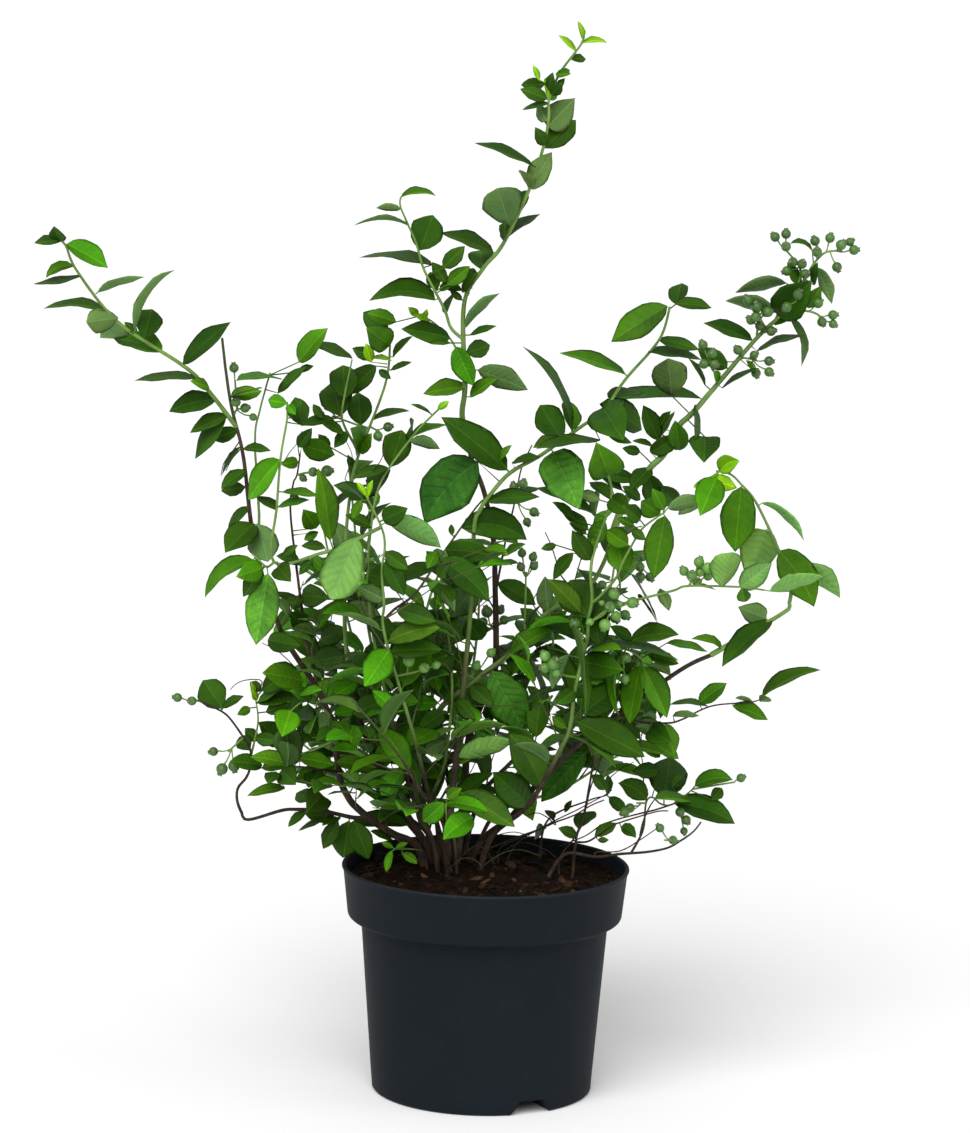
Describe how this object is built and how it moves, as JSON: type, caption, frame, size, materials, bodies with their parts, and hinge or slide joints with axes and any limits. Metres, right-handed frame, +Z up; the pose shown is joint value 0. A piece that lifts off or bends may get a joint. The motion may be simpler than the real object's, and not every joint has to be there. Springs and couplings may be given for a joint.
{
  "type": "potted blueberry bush",
  "caption": "Blueberry bush with leafy arching shoots and clusters of unripe green berries, in a dark round nursery pot filled with soil.",
  "frame": {"origin": "centre of the pot's base, on the ground", "axes": "+Z up, -Y towards the viewer of the picture, +X to the viewer's right"},
  "size_m": [0.6237, 0.4059, 0.8286],
  "materials": {
    "plastic": "satin dark slate",
    "soil": "rough bark compost",
    "bark": "rough brown bark",
    "leaf": "satin green",
    "berry": "matt green"
  },
  "bodies": {
    "root": {"berries_centre": "berry", "berries_dark_mid": "berry", "berries_far_left": "berry", "berries_light": "berry", "berries_light_right": "berry", "berries_right_mid": "berry", "berries_right_pair": "berry", "berries_stem": "berry", "berries_top_far_right": "berry", "berries_top_right": "berry", "berries_upper_centre": "berry", "berries_upper_mid": "berry", "berries_upper_right": "berry", "cane_inner_left": "bark", "cane_left": "bark", "cane_right_low": "bark", "pot": "plastic", "shoot_arching": "leaf", "shoot_back_high": "leaf", "shoot_back_inner": "leaf", "shoot_back_left": "leaf", "shoot_back_low_left": "leaf", "shoot_back_low_right": "leaf", "shoot_back_mid": "leaf", "shoot_back_right": "leaf", "shoot_centre": "leaf", "shoot_far_left": "leaf", "shoot_front_low": "leaf", "shoot_front_mid": "leaf", "shoot_inner_left": "leaf", "shoot_left": "leaf", "shoot_left_bright": "leaf", "shoot_left_light": "leaf", "shoot_low_left": "leaf", "shoot_low_right": "leaf", "shoot_mid_left": "leaf", "shoot_mid_left_low": "leaf", "shoot_right": "leaf", "shoot_right_inner": "leaf", "shoot_right_light": "leaf", "shoot_right_mid": "leaf", "shoot_right_tip": "leaf", "shoot_right_top": "leaf", "shoot_thick": "leaf", "shoot_top": "leaf", "shoot_top_left": "leaf", "soil": "soil", "sprig_front": "leaf", "stem_tall": "bark", "twig_back_right": "leaf", "twig_centre": "leaf", "twig_dark_centre": "leaf", "twig_inner_left": "leaf", "twig_left": "leaf", "twig_low_left": "leaf", "twig_low_right": "leaf", "twig_over_rim": "leaf", "twig_right_thin": "leaf"}
  },
  "joints": []
}
